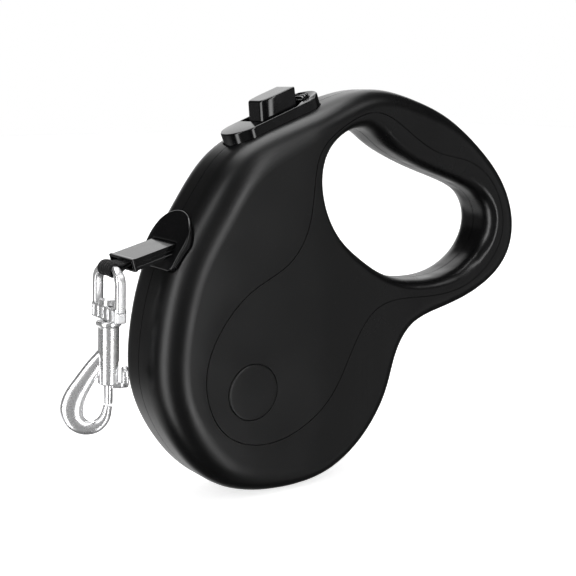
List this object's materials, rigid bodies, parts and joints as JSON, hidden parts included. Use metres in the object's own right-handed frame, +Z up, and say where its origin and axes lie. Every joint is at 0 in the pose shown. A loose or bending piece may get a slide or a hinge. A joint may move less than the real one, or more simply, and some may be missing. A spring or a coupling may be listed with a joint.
{
  "type": "retractable leash",
  "caption": "Hand-held retractable pet leash: flat tape on a sprung spool in a drum housing with a loop handle, thumb brake with lock, and a swivel bolt snap.",
  "frame": {"origin": "middle of the hand grip, on the parting plane, where the palm holds the handle", "axes": "-X the way the tape leaves the mouth, +Z up, +Y to the right side; the housing's parting plane is Y = 0 and the spool turns about Y"},
  "size_m": [0.2162, 0.037, 0.1577],
  "materials": {
    "housing": "satin fine-textured black",
    "panel": "soft matt black",
    "gloss": "polished black",
    "webbing": "woven black",
    "spool": "natural white moulded",
    "steel": "brushed",
    "chrome": "polished"
  },
  "bodies": {
    "housing": {"housing_left": "housing", "housing_right": "housing", "inlay_left": "panel", "inlay_right": "panel", "badge_left": "panel", "badge_right": "panel", "mouth_bezel": "gloss", "button_tray": "gloss", "spool_axle": "steel", "spring_arbor": "steel", "spiral_spring": "steel", "bush_left": "spool", "bush_right": "spool", "roller_pin": "steel", "pawl_pin": "steel", "pawl_spring": "steel", "button_spring": "steel", "tape_run": "webbing", "housing_screw_1": "steel", "housing_screw_2": "steel", "housing_screw_3": "steel", "housing_screw_4": "steel", "housing_screw_5": "steel", "housing_screw_6": "steel"},
    "spool": {"spool_core": "spool", "spool_cover": "spool", "tape_pack": "webbing"},
    "roller": {"guide_roller": "spool"},
    "button": {"brake_button": "gloss", "stem_clip": "steel"},
    "pawl": {"brake_pawl": "steel"},
    "lock": {"lock_slider": "gloss"},
    "tape_end": {"end_sleeve": "gloss", "tape_loop": "webbing"},
    "eye": {"swivel_eye": "chrome"},
    "hook": {"hook_body": "chrome", "swivel_stud": "chrome", "bolt_spring": "chrome"},
    "bolt": {"bolt_plunger": "chrome", "thumb_knob": "chrome"}
  },
  "joints": [
    {"name": "tape_pull", "type": "slide", "parent": "housing", "child": "tape_end", "axis": [-0.9703, 0, -0.2419], "range_m": [0, 5], "stiffness_N_per_m": 1, "springref_m": -6, "deforming": ["tape_run"]},
    {"name": "spool_spin", "type": "hinge", "parent": "housing", "child": "spool", "pos_m": [-0.09, 0, -0.074], "axis": [0, -1, 0], "range_deg": [0, 9000]},
    {"name": "roller_spin", "type": "hinge", "parent": "housing", "child": "roller", "pos_m": [-0.12864, 0, -0.03161], "axis": [0, -1, 0], "range_deg": [0, 95500]},
    {"name": "brake_press", "type": "slide", "parent": "housing", "child": "button", "axis": [0.3502, 0, -0.9367], "range_m": [0, 0.003], "stiffness_N_per_m": 600, "springref_m": -0.004, "deforming": ["button_spring"]},
    {"name": "pawl_turn", "type": "hinge", "parent": "housing", "child": "pawl", "pos_m": [-0.11, 0, -0.014], "axis": [0, 1, 0], "range_deg": [0, 5.76]},
    {"name": "lock_slide", "type": "slide", "parent": "housing", "child": "lock", "axis": [-0.9367, 0, -0.3502], "range_m": [0, 0.0025]},
    {"name": "eye_swing", "type": "hinge", "parent": "tape_end", "child": "eye", "pos_m": [-0.15905, 0, -0.0353], "axis": [0, 1, 0], "range_deg": [-3, 110]},
    {"name": "hook_swivel", "type": "hinge", "parent": "eye", "child": "hook", "pos_m": [-0.15982, 0, -0.05438], "axis": [0.0402, 0, 0.9992], "range_deg": [-95, 135]},
    {"name": "bolt_slide", "type": "slide", "parent": "hook", "child": "bolt", "axis": [0.0402, 0, 0.9992], "range_m": [0, 0.0075], "stiffness_N_per_m": 400, "springref_m": -0.004, "deforming": ["bolt_spring"]}
  ],
  "couplings": [
    {"joint": "spool_spin", "follows": "tape_pull", "rad_per_m": 31.416},
    {"joint": "roller_spin", "follows": "tape_pull", "rad_per_m": 333.3},
    {"joint": "pawl_turn", "follows": "brake_press", "rad_per_m": 33.217}
  ]
}
